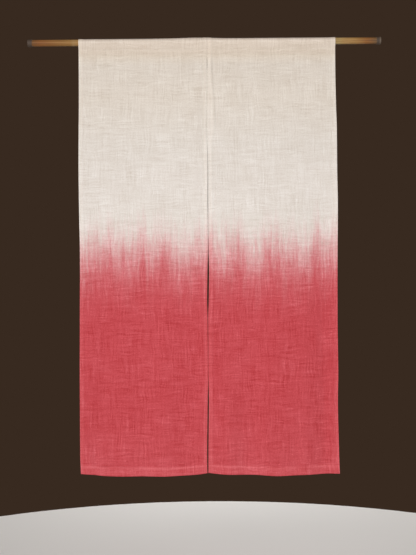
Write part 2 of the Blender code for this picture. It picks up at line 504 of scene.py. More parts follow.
@dataclass(frozen=True)
class DippedLinen:
    """Plain-woven hemp linen of hand-spun yarn, dipped foot first in a red bath.

    To the eye: matt, slubby both ways, beige to off-white above, and a soft red below that has crept up
    the warp in streaks. Thick yarn and double layers have taken less dye and look a little paler. Real
    threads lie about 0.7 mm apart, too fine to show in the render, so the weave and the slubs are drawn
    coarser.
    """

    # The undyed cloth's colour at depths below the rod's axis, with painted shade along the sleeve's top
    # and a band of painted shade over the sleeve's lower part, lighter downwards; and the dye's full tint
    # as linear light.
    undyed_and_shade: tuple[tuple[float, str], ...] = (
        (-0.012, "#d5c6b7"),
        (-0.002, "#e3d5c6"),
        (0.040, "#d9cbbb"),
        (0.052, "#dfd3c4"),
        (0.080, "#ded4c8"),
        (0.190, "#e0d6ca"),
        (0.350, "#e2dad1"),
        (0.510, "#e5ddd5"),
        (0.800, "#e7dfd7"),
    )
    full_dye: tuple[float, float, float] = (0.706, 0.0915, 0.1195)
    most_dye: float = 1.3
    # How high the dye has crept across the cloth, and how much of it the cloth holds below that.
    half_span: float = 0.47
    reach_span: float = 0.10
    dye_depth: float = 0.762
    soaks: tuple[Soak, ...] = (
        Soak(-180, 0.00),
        Soak(-120, 0.05),
        Soak(-60, 0.22),
        Soak(0, 0.475),
        Soak(60, 0.76),
        Soak(120, 0.915),
        Soak(180, 0.985),
        Soak(300, 1.00),
        Soak(560, 0.985),
        Soak(720, 0.93),
    )
    tongues: tuple[Tongue, ...] = (
        Tongue(-460, -10), Tongue(-425, -12), Tongue(-405, 0), Tongue(-380, 10),
        Tongue(-355, 8), Tongue(-335, 20), Tongue(-320, 0), Tongue(-300, 3),
        Tongue(-275, -3), Tongue(-245, 5), Tongue(-222, 30), Tongue(-205, -3),
        Tongue(-180, 4), Tongue(-150, 20), Tongue(-125, 0), Tongue(-100, -14),
        Tongue(-80, -10), Tongue(-60, -16), Tongue(-35, 8), Tongue(-15, -4),
        Tongue(0, 30), Tongue(20, -2), Tongue(55, -12), Tongue(100, 14),
        Tongue(120, -4), Tongue(160, -20), Tongue(195, 8), Tongue(210, 16),
        Tongue(235, 12), Tongue(260, -12), Tongue(280, 0), Tongue(310, -16),
        Tongue(350, -4), Tongue(370, 32), Tongue(390, -6), Tongue(415, 4),
        Tongue(430, 4), Tongue(440, 28), Tongue(455, 16), Tongue(465, 16),
    )
    # Streaks of the dye, and slubs of the yarn across and along the cloth.
    creeping: tuple[Slub, ...] = (
        Slub(26.0, 130.0, 22.0),
        Slub(10.0, 110.0, 74.0),
        Slub(4.2, 55.0, 34.0),
        Slub(60.0, 4.2, 30.0),
        Slub(6.0, 8.0, 28.0),
    )
    dipping: tuple[Slub, ...] = (Slub(20.0, 150.0, 30.0), Slub(9.0, 80.0, 36.0))
    dips_from: float = 0.74
    dips_full: float = 0.87
    warp: Slub = Slub(4.6, 95.0, 0.42)
    weft: Slub = Slub(62.0, 4.6, 0.40)
    bands: Slub = Slub(95.0, 12.0, 0.11)
    grain: Slub = Slub(4.2, 4.2, 0.20)
    patches: Slub = Slub(60.0, 90.0, 0.085)
    flocks: Slub = Slub(45.0, 55.0, 1.6)
    neps: Slub = Slub(8.5, 4.2, 1.0)
    nep_from: float = 0.17
    nep_full: float = 0.32
    nep_gain: float = 0.10
    yarn_tint: tuple[float, float, float] = (0.82, 1.0, 1.2)
    flock_level: float = 0.5
    # Shifts that keep one pattern from repeating another.
    pattern_steps: tuple[float, float] = (7.3, 3.9)
    shift_slant: float = 1.7
    creeping_shift: float = 3.1
    cloth_shift: float = 11.7
    warp_shift: float = 21.3
    weft_shift: float = 33.1
    flock_shift: float = 5.0
    dipping_shift: float = 47.9
    nep_shift: float = 61.3
    # How the yarn wanders, takes the dye and stands out, and how the tone of second layers, painted
    # highlights and painted shade changes the colour.
    wobble: float = 0.45
    wander: float = 12.0
    wander_pitch: float = 55.0
    dye_grip: float = 1.04
    tone_gain: float = 0.05
    tone_dye: float = 0.055
    tint_stops: int = 14
    thread_pitch: float = 1.3
    yarn_relief: float = 2.0
    texture: Texture = Texture(0.34, 0.0004, -0.30, 0.88)
    sheen: float = 0.08
    sheen_roughness: float = 0.5
    specular: float = 0.2

    def unevenness(self, tree: Tree, cloth: Socket, slubs: Sequence[Slub], shift: float) -> Socket:
        """Sum of soft patterns of the given sizes on the cloth, centred on 0.

        Args:
            tree: The material's node tree.
            cloth: The cloth's coordinates, in metres.
            slubs: The sizes and strengths of the patterns.
            shift: Moves the patterns, so that no two of one size match.

        Returns:
            The output socket; each pattern reaches about a third of its strength either way.
        """
        total: Any = -sum(slub.strength for slub in slubs) / 2
        step_across, step_along = self.pattern_steps
        for number, slub in enumerate(slubs):
            scale = (1 / (slub.width * MM), 1 / (slub.length * MM), 1.0)
            along = self.shift_slant * shift + step_along * number
            location = (shift + step_across * number, along, 0.0)
            placing = {"Vector": cloth, "Scale": scale, "Location": location}
            placed = add_node(tree, "ShaderNodeMapping", None, placing)
            noise = add_node(
                tree,
                NOISE,
                FLAT,
                {
                    "Vector": placed.outputs[0],
                    "Scale": 1.0,
                    "Detail": 1.0,
                    "Roughness": 0.5,
                    "Distortion": self.wobble,
                },
            )
            summed = add_node(tree, MATH, MULTIPLY_ADD, {0: noise.outputs[0], 1: slub.strength, 2: total})
            total = summed.outputs[0]
        return total

    def wandering(self, tree: Tree, cloth: Socket) -> Socket:
        """The cloth's coordinates moved a little to and fro, as hand-spun yarn doesn't lie quite straight.

        Args:
            tree: The material's node tree.
            cloth: The cloth's coordinates, in metres.

        Returns:
            The output socket, in metres.
        """
        drift = add_node(
            tree, NOISE, FLAT, {"Vector": cloth, "Scale": 1 / (self.wander_pitch * MM), "Detail": 1.0}
        )
        centred = add_node(tree, VECTOR_MATH, SUBTRACT, {0: drift.outputs[1], 1: (0.5, 0.5, 0.5)})
        return add_node(
            tree, VECTOR_MATH, MULTIPLY_ADD, {0: centred.outputs[0], 1: (self.wander * MM,) * 3, 2: cloth}
        ).outputs[0]

    def yarn(self, tree: Tree, cloth: Socket) -> Socket:
        """Thick and thin places of the yarn, gathered into flocks as hand-spun yarn is.

        Args:
            tree: The material's node tree.
            cloth: The cloth's coordinates, in metres.

        Returns:
            The output socket, centred on 0 and a few hundredths either way.
        """
        lumps = self.unevenness(tree, cloth, (self.neps,), self.nep_shift)
        knots = add_node(
            tree,
            MAP_RANGE,
            CLAMPED,
            {0: lumps, 1: self.nep_from, 2: self.nep_full, 3: 0.0, 4: self.nep_gain},
        )
        ground = self.unevenness(tree, cloth, (self.grain, self.patches, self.bands), self.cloth_shift)
        total = add_node(tree, MATH, ADD, {0: ground, 1: knots.outputs[0]}).outputs[0]
        for shift, slub in ((self.warp_shift, self.warp), (self.weft_shift, self.weft)):
            flock = self.unevenness(tree, cloth, (self.flocks,), shift + self.flock_shift)
            strength = add_node(
                tree, MATH, {"operation": "ADD", "use_clamp": True}, {0: flock, 1: self.flock_level}
            )
            slubs = self.unevenness(tree, cloth, (slub,), shift)
            total = add_node(
                tree, MATH, MULTIPLY_ADD, {0: slubs, 1: strength.outputs[0], 2: total}
            ).outputs[0]
        return total

    def dye(self, tree: Tree, cloth: Socket, yarn: Socket) -> Socket:
        """How much dye the cloth holds, from 0 to a little over 1.

        Args:
            tree: The material's node tree.
            cloth: The cloth's coordinates, in metres.
            yarn: Thick and thin places of the yarn.

        Returns:
            The output socket.
        """
        split = add_node(tree, SPLIT, None, {0: cloth})
        spot = add_node(
            tree,
            MAP_RANGE,
            CLAMPED,
            {0: split.outputs[0], 1: -self.half_span, 2: self.half_span, 3: 0.0, 4: 1.0},
        )
        reach = add_node(tree, "ShaderNodeFloatCurve", None, {"Value": spot.outputs[0]})
        across, along = MM / (2 * self.half_span), MM / (2 * self.reach_span)
        set_curve(reach.mapping, [(0.5 + t.x * across, 0.5 + t.rise * along) for t in self.tongues])
        tongue = add_node(
            tree, MATH, MULTIPLY_ADD, {0: reach.outputs[0], 1: 2 * self.reach_span, 2: -self.reach_span}
        )
        streaks = self.unevenness(tree, cloth, self.creeping, self.creeping_shift)
        crept = add_node(tree, MATH, MULTIPLY_ADD, {0: streaks, 1: MM, 2: tongue.outputs[0]})
        below = add_node(
            tree,
            MAP_RANGE,
            CLAMPED,
            {0: split.outputs[1], 1: -self.dips_from, 2: -self.dips_full, 3: 0.0, 4: MM},
        )
        dips = self.unevenness(tree, cloth, self.dipping, self.dipping_shift)
        dipped = add_node(tree, MATH, MULTIPLY_ADD, {0: dips, 1: below.outputs[0], 2: crept.outputs[0]})
        level = add_node(tree, MATH, SUBTRACT, {0: dipped.outputs[0], 1: split.outputs[1]})
        first, last = self.soaks[0].below, self.soaks[-1].below
        share = add_node(
            tree,
            MAP_RANGE,
            CLAMPED,
            {
                0: level.outputs[0],
                1: self.dye_depth + first * MM,
                2: self.dye_depth + last * MM,
                3: 0.0,
                4: 1.0,
            },
        )
        taken = add_node(tree, "ShaderNodeFloatCurve", None, {"Value": share.outputs[0]})
        points = [((soak.below - first) / (last - first), soak.share) for soak in self.soaks]
        set_curve(taken.mapping, points)
        grip = add_node(tree, MATH, MULTIPLY_ADD, {0: yarn, 1: -self.dye_grip, 2: 1.0})
        return add_node(tree, MATH, MULTIPLY, {0: taken.outputs[0], 1: grip.outputs[0]}).outputs[0]

    def material(self, name: str) -> bpy.types.Material:
        """Make the cloth's finish.

        Args:
            name: The material's name.

        Returns:
            The material, which reads the cloth's own UV map and its tone attribute, with its painted light
            and shade.
        """
        material, tree, surface = new_material(name)
        cloth = add_node(tree, "ShaderNodeUVMap", {"uv_map": CLOTH_UV}).outputs[0]
        split = add_node(tree, SPLIT, None, {0: cloth})
        top, low = self.undyed_and_shade[0][0], self.undyed_and_shade[-1][0]
        depth = add_node(tree, MAP_RANGE, CLAMPED, {0: split.outputs[1], 1: -top, 2: -low, 3: 0.0, 4: 1.0})
        # The undyed colour, with its painted shade at the sleeve.
        undyed_and_shade = add_node(tree, RAMP, None, {0: depth.outputs[0]})
        stops = [((down - top) / (low - top), linear(colour)) for down, colour in self.undyed_and_shade]
        set_stops(undyed_and_shade.color_ramp, stops)
        threads = self.wandering(tree, cloth)
        yarn = self.yarn(tree, threads)
        layers = add_node(tree, "ShaderNodeAttribute", {"attribute_name": TONE_ATTRIBUTE})
        thinned = add_node(
            tree,
            MATH,
            MULTIPLY_ADD,
            {0: layers.outputs["Fac"], 1: -self.tone_dye / self.most_dye, 2: 1 / self.most_dye},
        )
        held = add_node(tree, MATH, MULTIPLY, {0: self.dye(tree, cloth, yarn), 1: thinned.outputs[0]})
        tint = add_node(tree, RAMP, None, {0: held.outputs[0]})
        set_stops(tint.color_ramp, self.tints())
        dyed = add_node(
            tree, "ShaderNodeMix", FILTERED, {"Factor": 1.0, 6: undyed_and_shade.outputs[0], 7: tint.outputs[0]}
        )
        paled = add_node(tree, MATH, MULTIPLY_ADD, {0: layers.outputs["Fac"], 1: self.tone_gain, 2: 1.0})
        gain = add_node(tree, VECTOR_MATH, MULTIPLY_ADD, {0: yarn, 1: self.yarn_tint, 2: paled.outputs[0]})
        colour = add_node(tree, VECTOR_MATH, MULTIPLY, {0: dyed.outputs[2], 1: gain.outputs[0]})
        tree.links.new(colour.outputs[0], surface.inputs["Base Color"])
        self.weave(tree, threads, yarn, surface)
        surface.inputs["Sheen Weight"].default_value = self.sheen
        surface.inputs["Sheen Roughness"].default_value = self.sheen_roughness
        surface.inputs["Specular IOR Level"].default_value = self.specular
        return material

    def tints(self) -> list[tuple[float, tuple[float, float, float, float]]]:
        """Stops of the dye's colour: the full tint to the power of each share, as dye filters light.

        Returns:
            For each stop, its share and its linear colour.
        """
        stops = []
        for number in range(self.tint_stops):
            share = number / (self.tint_stops - 1)
            red, green, blue = (part ** (share * self.most_dye) for part in self.full_dye)
            stops.append((share, (red, green, blue, 1.0)))
        return stops

    def weave(self, tree: Tree, threads: Socket, yarn: Socket, surface: Node) -> None:
        """Give the surface its thread relief and its roughness.

        Args:
            tree: The material's node tree.
            threads: The cloth's coordinates in metres, wandering as the threads do.
            yarn: Thick and thin places of the yarn.
            surface: The surface shader that takes the bump and the roughness.
        """
        waves = []
        for direction in ("X", "Y"):
            wave = add_node(
                tree,
                "ShaderNodeTexWave",
                {"wave_type": "BANDS", "bands_direction": direction, "wave_profile": "SIN"},
                {
                    "Vector": threads,
                    "Scale": 2 * math.pi / (WAVE_RADIANS * self.thread_pitch * MM),
                    "Distortion": 1.2,
                    "Detail": 1.0,
                    "Detail Scale": 2.0,
                },
            )
            waves.append(wave.outputs[1])
        crossing = add_node(tree, MATH, MULTIPLY, {0: waves[0], 1: waves[1]})
        height = add_node(tree, MATH, MULTIPLY_ADD, {0: yarn, 1: self.yarn_relief, 2: crossing.outputs[0]})
        give_texture(tree, surface, self.texture, height.outputs[0], yarn)


@dataclass(frozen=True)
class BrownedWood:
    """A turned hardwood rod under a brown stain.

    To the eye: long fine grain, with painted shade that makes it redder and darker to its ends, painted
    highlights where the cloth's edges meet it, and hardly any shine.
    """

    # Colours of the grain, and over them from the rod's left end to its right one the stain, with painted
    # shade towards both ends and painted highlights where the cloth's edges meet the rod.
    grain: tuple[tuple[float, str], ...] = (
        (0.00, "#94754a"),
        (0.35, "#a98853"),
        (0.60, "#b79762"),
        (1.00, "#c9aa78"),
    )
    stain_and_painted_light: tuple[tuple[float, str], ...] = (
        (0.000, "#9c8884"),
        (0.035, "#c9a087"),
        (0.108, "#dcc7b0"),
        (0.122, "#dfcab4"),
        (0.130, "#eae3e6"),
        (0.140, "#ebdacb"),
        (0.862, "#f3ece4"),
        (0.874, "#f3fafd"),
        (0.883, "#f6fbfd"),
        (0.892, "#f5eee7"),
        (0.930, "#e9d8c7"),
        (0.960, "#cba487"),
        (0.985, "#aa9c9e"),
    )
    # Sizes of the grain and its pores in millimetres, and how they mix.
    grain_width: float = 2.4
    grain_length: float = 140.0
    pore_width: float = 0.8
    pore_length: float = 22.0
    pore_share: float = 0.35
    darkest: float = 0.45
    palest: float = 0.92
    length: float = 1.205
    texture: Texture = Texture(0.25, 0.0003, 0.25, 0.52)
    specular: float = 0.3

    def material(self, name: str) -> bpy.types.Material:
        """Make the rod's finish, on Object coordinates.

        Args:
            name: The material's name.

        Returns:
            The material.
        """
        material, tree, surface = new_material(name)
        place = add_node(tree, "ShaderNodeTexCoord").outputs["Object"]
        layers = []
        for width, length in ((self.grain_width, self.grain_length), (self.pore_width, self.pore_length)):
            scale = (1 / (length * MM), 1 / (width * MM), 1 / (width * MM))
            stretched = add_node(tree, "ShaderNodeMapping", None, {"Vector": place, "Scale": scale})
            noise = add_node(
                tree,
                NOISE,
                None,
                {"Vector": stretched.outputs[0], "Scale": 1.0, "Detail": 3.0, "Distortion": 0.4},
            )
            layers.append(noise.outputs[0])
        mixed = add_node(tree, MATH, MULTIPLY_ADD, {0: layers[1], 1: self.pore_share, 2: layers[0]})
        spread = add_node(
            tree,
            MAP_RANGE,
            CLAMPED,
            {0: mixed.outputs[0], 1: self.darkest, 2: self.palest, 3: 0.0, 4: 1.0},
        )
        colour = add_node(tree, RAMP, None, {0: spread.outputs[0]})
        set_stops(colour.color_ramp, [(place, linear(shade)) for place, shade in self.grain])
        split = add_node(tree, SPLIT, None, {0: place})
        along = add_node(
            tree, MATH, {"operation": "DIVIDE", "use_clamp": True}, {0: split.outputs[0], 1: self.length}
        )
        # The stain, with painted shade at the rod's ends and painted highlights beside the cloth's edges.
        stain_and_painted_light = add_node(tree, RAMP, None, {0: along.outputs[0]})
        set_stops(stain_and_painted_light.color_ramp, [(place, linear(shade)) for place, shade in self.stain_and_painted_light])
        grain_and_painted_light = add_node(
            tree, "ShaderNodeMix", FILTERED, {"Factor": 1.0, 6: colour.outputs[0], 7: stain_and_painted_light.outputs[0]}
        )
        tree.links.new(grain_and_painted_light.outputs[2], surface.inputs["Base Color"])
        give_texture(tree, surface, self.texture, layers[1], layers[1])
        surface.inputs["Specular IOR Level"].default_value = self.specular
        return material


@dataclass(frozen=True)
class MouldedRubber:
    """A moulded rubber end cap, dark brown and matt, a little dusty, and paler tan on the right cap's
    outer end.
    """

    body: str = "#44352b"
    dust: str = "#5c4d41"
    paler_part: str = "#6a5c4e"
    # Distances from the rod's middle over which the paler tan end begins.
    paler_from: float = 0.596
    paler_fully: float = 0.599
    middle: float = 0.6025
    speckle: float = 3.0
    body_until: float = 0.40
    dust_from: float = 0.72
    texture: Texture = Texture(0.3, 0.0002, 0.3, 0.57)

    def material(self, name: str) -> bpy.types.Material:
        """Make the caps' finish, on Object coordinates.

        Args:
            name: The material's name.

        Returns:
            The material.
        """
        material, tree, surface = new_material(name)
        place = add_node(tree, "ShaderNodeTexCoord").outputs["Object"]
        noise = add_node(
            tree, NOISE, None, {"Vector": place, "Scale": 1 / (self.speckle * MM), "Detail": 4.0}
        )
        colour = add_node(tree, RAMP, None, {0: noise.outputs[0]})
        stops = ((self.body_until, linear(self.body)), (self.dust_from, linear(self.dust)))
        set_stops(colour.color_ramp, stops)
        split = add_node(tree, SPLIT, None, {0: place})
        outward = add_node(tree, MATH, SUBTRACT, {0: split.outputs[0], 1: self.middle})
        outer_end = add_node(
            tree,
            MAP_RANGE,
            CLAMPED,
            {0: outward.outputs[0], 1: self.paler_from, 2: self.paler_fully, 3: 0.0, 4: 1.0},
        )
        paler_outer = add_node(
            tree,
            "ShaderNodeMix",
            {"data_type": "RGBA", "blend_type": "MIX"},
            {"Factor": outer_end.outputs[0], 6: colour.outputs[0], 7: linear(self.paler_part)},
        )
        tree.links.new(paler_outer.outputs[2], surface.inputs["Base Color"])
        give_texture(tree, surface, self.texture, noise.outputs[0], noise.outputs[0])
        return material


@dataclass(frozen=True)
class FloorPaint:
    """Pale, evenly painted studio floor with hardly any shine."""

    colour: str = "#e2e0dc"
    roughness: float = 0.85

    def material(self, name: str) -> bpy.types.Material:
        """Make the floor's plain finish."""
        material, _, surface = new_material(name)
        surface.inputs["Base Color"].default_value = linear(self.colour)
        surface.inputs["Roughness"].default_value = self.roughness
        return material


@dataclass(frozen=True)
class HangingShape:
    """How the cloth hangs: its edges, folds, creases and small ripples."""

    middle: float = 0.6125
    front: float = -0.00092
    # Between these depths the ripples grow from their share on the sleeve to their full height.
    fade_from: float = 0.046
    fade_to: float = 0.110
    sleeve_ripple: float = 0.25
    crease_reach: float = 0.45
    ripples: tuple[Ripple, ...] = (
        Ripple(0.046, 0.210, 0.00085, 11),
        Ripple(0.030, 0.060, 0.00040, 12),
        Ripple(0.015, 0.028, 0.00016, 13),
    )

    def edges(self, side: Side, depth: np.ndarray) -> tuple[np.ndarray, np.ndarray]:
        """A panel's left and right edge.

        Args:
            side: Which panel.
            depth: Depths below the rod's axis.

        Returns:
            The x values of both edges, from the cloth's middle.
        """
        slit = Track.through(LEVELS, "slit").at(depth)
        half = Track.through(LEVELS, "gap").at(depth) / 2
        if side is Side.LEFT:
            return Track.through(LEVELS, "left").at(depth), slit - half
        return slit + half, Track.through(LEVELS, "right").at(depth)

    def swing(self, side: Side, x: np.ndarray, depth: np.ndarray) -> np.ndarray:
        """How far the folds and creases carry the cloth in y.

        Args:
            side: Which panel.
            x: Places across the cloth.
            depth: Depths below the rod's axis, in the same shape.

        Returns:
            The y offsets; towards the back is positive.
        """
        last = LEVELS[-1].depth
        total = np.zeros_like(x)
        for fold in FOLDS[side]:
            grown = ease((depth - fold.start) / (last - fold.start))
            middle = fold.x - fold.lean * (1.0 - grown)
            reach = np.minimum(np.abs(x - middle) / fold.half_width, 1.0)
            total += fold.swing * grown * 0.5 * (1.0 + np.cos(np.pi * reach))
        for crease in CREASES[side]:
            run = np.array([crease.x_to - crease.x_from, crease.depth_to - crease.depth_from])
            length = float(np.hypot(*run))
            along = ((x - crease.x_from) * run[0] + (depth - crease.depth_from) * run[1]) / length**2
            beside = ((x - crease.x_from) * run[1] - (depth - crease.depth_from) * run[0]) / length
            taper = np.exp(-(((along - 0.5) / self.crease_reach) ** 4))
            total += crease.height * taper * np.exp(-((beside / crease.half_width) ** 2))
        fade = ease((depth - self.fade_from) / (self.fade_to - self.fade_from))
        for ripple in self.ripples:
            total += ripple.at(x, depth) * (self.sleeve_ripple + (1.0 - self.sleeve_ripple) * fade)
        return total


class Run(Enum):
    """Stretches of a sheet, from its sleeve's back edge, over the rod and down to its foot hem."""

    SLEEVE_BACK = 0
    SLEEVE_TOP = 1
    FRONT = 2
    FOOT_BACK = 3


class Row(NamedTuple):
    """One row of a sheet's points: its stretch, and the depth and y of each point."""

    run: Run
    depth: np.ndarray
    y: np.ndarray


@dataclass
class Panel:
    """One width of cloth: a single sheet with its side hems, foot hem and rod sleeve turned to the back.

    The sheet is laid out as rows and columns of points: columns run round both side hems and across the
    field, rows from the sleeve's back edge over the rod and down to the foot hem's raw edge.
    """

    side: Side
    shape: HangingShape
    linen: DippedLinen
    # The cloth, its hems, the rows of stitches and the sleeve.
    nominal: float = 440 * MM
    thickness: float = 0.55 * MM
    layer_pitch: float = 0.65 * MM
    side_hem: float = 14 * MM
    side_stitch: float = 0.90
    foot_hem: float = 34 * MM
    foot_stitch: float = 32.6 * MM
    stitch_depth: float = 46 * MM
    sleeve_edge: float = 48 * MM
    meet_depth: float = 26 * MM
    sleeve_radius: float = 11.6 * MM
    # How far hems raise the front, and how stitches draw it in and pucker it.
    hem_step: float = 0.80 * MM
    foot_step: float = 0.90 * MM
    hem_fade: float = 3.2 * MM
    foot_fade: float = 2.5 * MM
    foot_lead: float = 1 * MM
    groove: float = 0.22 * MM
    groove_half: float = 1.7 * MM
    pucker: Ripple = Ripple(0.011, 0.011, 0.00030, 21)
    pucker_half: float = 7 * MM
    # Painted highlights along the outer edges, along a line inside the slit-side hem and across the foot
    # hem, and painted shade along the foot's lower edge; a plain second layer pales the cloth by 1.
    edge_highlight: float = 0.9
    edge_highlight_width: float = 6 * MM
    ridge_highlight_share: float = 0.62
    ridge_highlight_half: float = 1.9 * MM
    ridge_highlight_tone: float = 1.1
    foot_highlight: float = 26.5 * MM
    foot_highlight_half: float = 3.4 * MM
    foot_highlight_tone: float = 1.35
    patchy: Ripple = Ripple(0.060, 0.600, 1.10, 3604)
    foot_shade_tone: float = 1.9
    foot_shade_height: float = 4 * MM
    tone_fade: float = 1.5 * MM
    seam_end: float = 0.30
    seam_fade: float = 0.05
    seam_evens: float = 0.7
    # How finely the sheet is divided, and where its rows and columns lie.
    field_start: float = 54 * MM
    field_end: float = 41 * MM
    field_columns: int = 78
    field_rows: int = 272
    arc_rows: int = 26
    back_rows: int = 7
    fold_points: int = 5
    foot_points: int = 7
    field_margin: float = 0.013
    # Edges bent by fewer degrees are smoothed; at this depth the side hems' widths are read, and not used
    # further.
    smooth_below: float = 50.0
    measured_at: float = 1.0
    # Columns across a hem and beside it as shares, and rows in millimetres from the rod or the foot.
    hem_shares: tuple[float, ...] = (0.10, 0.28, 0.46, 0.64, 0.82, 0.90, 1.0)
    edge_shares: tuple[float, ...] = (0.0035, 0.0075)
    slope_shares: tuple[float, ...] = (0.2, 0.4, 0.6, 0.8)
    sleeve_depths_mm: tuple[float, ...] = (26, 30, 34, 38, 41, 43.5, 45, 46, 47, 48.8, 51.5)
    foot_heights_mm: tuple[float, ...] = (
        40, 38, 36.4, 35.2, 34.2, 33.2, 32, 30, 27.5, 25, 22.5, 20, 17.5, 15, 12.5, 10, 7.5, 5, 2.6
    )
    back_heights_mm: tuple[float, ...] = (2.6, 5.5, 10, 16, 22, 27, 31, 34)
    sheet: Optional[bpy.types.Object] = field(default=None, init=False)
    columns: list[tuple[str, int, float]] = field(default_factory=list, init=False)

    def __post_init__(self) -> None:
        """List the columns of the sheet, from its left raw edge to its right one."""
        turns = np.linspace(0.0, np.pi, self.fold_points)
        left = [("turned", -1, share) for share in reversed(self.hem_shares)]
        left += [("fold", -1, float(turn)) for turn in turns]
        left += [("hem", -1, share) for share in self.hem_shares]
        inner = np.linspace(self.field_margin, 1 - self.field_margin, self.field_columns)
        shares = [*self.edge_shares, *inner, *(1 - share for share in reversed(self.edge_shares))]
        right = [(kind, 1, value) for kind, _, value in reversed(left)]
        self.columns = left + [("field", 0, float(share)) for share in shares] + right

    @property
    def name(self) -> str:
        """The sheet's name."""
        return f"linen_{self.side.value}"

    def foot_at(self, x: np.ndarray) -> np.ndarray:
        """How deep the panel hangs at some places across it."""
        return Track.through(FEET[self.side], "depth").at(x)

    def hem_widths(self, depth: np.ndarray) -> tuple[np.ndarray, np.ndarray]:
        """Widths of the panel's side hems.

        Args:
            depth: Depths below the rod's axis.

        Returns:
            The widths of its left and its right hem there.
        """
        inner = Track.through(INNER_HEMS[self.side], "width").at(depth)
        outer = np.full_like(inner, self.side_hem)
        return (outer, inner) if self.side is Side.LEFT else (inner, outer)

    def inside_hems(self, x: np.ndarray, depth: np.ndarray) -> np.ndarray:
        """How far places lie inside the nearer side hem's inner line.

        Args:
            x: Places across the cloth.
            depth: Their depths.

        Returns:
            The distances, which are negative on the hem.
        """
        left, right = self.shape.edges(self.side, depth)
        hem_left, hem_right = self.hem_widths(depth)
        return np.minimum(x - left - hem_left, right - hem_right - x)

    def hemmed(self, x: np.ndarray, depth: np.ndarray) -> np.ndarray:
        """1 within a side hem, easing to 0 just inside it."""
        return 1.0 - ease(self.inside_hems(x, depth) / self.hem_fade)

    def raised(self, x: np.ndarray, depth: np.ndarray, foot: np.ndarray) -> np.ndarray:
        """How far the layers behind a hem push the front layer out."""
        low = ease((depth - foot + self.foot_hem + self.foot_lead) / self.foot_fade)
        return np.maximum(self.hem_step * self.hemmed(x, depth), self.foot_step * low)

    def front_face(self, x: np.ndarray, depth: np.ndarray) -> np.ndarray:
        """The y of the cloth's front face, apart from the stitches' own grooves and puckers."""
        lifted = self.raised(x, depth, self.foot_at(x)) + self.thickness / 2
        return self.shape.front + self.shape.swing(self.side, x, depth) - lifted

    def across(self, depth: np.ndarray) -> np.ndarray:
        """Where each column stands.

        Args:
            depth: Depths as rows by columns.

        Returns:
            The x values, rows by columns.
        """
        left, right = self.shape.edges(self.side, depth)
        hem_left, hem_right = self.hem_widths(depth)
        bend = self.layer_pitch / 2
        margin = bend + self.thickness / 2
        x = np.empty_like(depth)
        for number, (kind, way, value) in enumerate(self.columns):
            edge = (left if way < 0 else right)[:, number]
            hem = (hem_left if way < 0 else hem_right)[:, number]
            if kind == "field":
                start = left[:, number] + hem_left[:, number]
                end = right[:, number] - hem_right[:, number]
                x[:, number] = start + value * (end - start)
            elif kind == "fold":
                x[:, number] = edge - way * margin + way * bend * math.sin(value)
            else:
                x[:, number] = edge - way * (margin + value * (hem - margin))
        return x

    def turned_back(self) -> np.ndarray:
        """How far each column's layer lies behind the main layer."""
        bend = self.layer_pitch / 2
        back = {"turned": 2 * bend, "hem": 0.0, "field": 0.0}
        return np.array(
            [bend * (1 + math.cos(v)) if kind == "fold" else back[kind] for kind, _, v in self.columns]
        )

    def row(self, run: Run, depth: Any, y: Any) -> Row:
        """Make one row of the sheet.

        Args:
            run: The stretch that it belongs to.
            depth: One depth, or one for each column.
            y: One y, or one for each column, before the folds carry it.

        Returns:
            The row, carried by the folds unless it lies over the rod.
        """
        depth = np.zeros(len(self.columns)) + depth
        y = np.zeros(len(self.columns)) + y
        if run is not Run.SLEEVE_TOP:
            y = y + self.shape.swing(self.side, self.across(depth[None, :])[0], depth)
        return Row(run, depth, y)

    def sleeve_rows(self) -> list[Row]:
        """Rows of the sleeve: up behind the rod, over it, and down to where the layers meet in front.

        Returns:
            The rows, in order.
        """
        level = np.zeros((1, len(self.columns)))
        x = self.across(level)
        hem = self.hemmed(x, level)[0]
        radius = self.sleeve_radius + self.layer_pitch * hem
        lift = Track.through(SLEEVE_LIFTS, "height").at(x[0])
        furthest = math.pi / 2 + np.arcsin(radius / self.meet_depth)
        out, up = radius * np.sin(furthest), radius * np.cos(furthest)
        front = self.shape.front
        back = front + self.layer_pitch * (1 + 2 * hem)
        rows = []
        for depth in np.linspace(self.sleeve_edge, self.meet_depth, self.back_rows):
            rows.append(self.row(Run.SLEEVE_BACK, depth, back))
        for share in self.slope_shares:
            depth = self.meet_depth * (1 - share) - up * share
            rows.append(self.row(Run.SLEEVE_TOP, depth, back * (1 - share) + out * share))
        for share in np.linspace(0, 1, self.arc_rows):
            turn = furthest * (1 - 2 * share)
            height = radius * np.cos(turn) + lift * np.maximum(np.cos(turn), 0.0)
            rows.append(self.row(Run.SLEEVE_TOP, -height, radius * np.sin(turn)))
        for share in reversed(self.slope_shares):
            depth = self.meet_depth * (1 - share) - up * share
            rows.append(self.row(Run.SLEEVE_TOP, depth, front * (1 - share) - out * share))
        return rows

    def hanging_rows(self, foot: np.ndarray) -> list[Row]:
        """Rows of the front from the meeting of the layers down, round the foot and up its hem.

        Args:
            foot: The foot's depth for each column.

        Returns:
            The rows, in order.
        """
        front = self.shape.front
        rows = [self.row(Run.FRONT, depth * MM, front) for depth in self.sleeve_depths_mm]
        end = foot - self.field_end
        for share in np.linspace(0, 1, self.field_rows):
            depth = self.field_start + share * (end - self.field_start)
            rows.append(self.row(Run.FRONT, depth, front))
        for height in self.foot_heights_mm:
            rows.append(self.row(Run.FRONT, foot - height * MM, front))
        level = np.full((1, len(self.columns)), LEVELS[-1].depth)
        behind = self.layer_pitch * (1 + 2 * self.hemmed(self.across(level), level)[0])
        centre = foot - behind / 2 - self.thickness / 2
        for turn in np.linspace(0, math.pi, self.foot_points):
            depth = centre + behind / 2 * math.sin(turn)
            rows.append(self.row(Run.FRONT, depth, front + behind / 2 * (1 - math.cos(turn))))
        for height in self.back_heights_mm:
            rows.append(self.row(Run.FOOT_BACK, foot - height * MM, front + behind))
        return rows

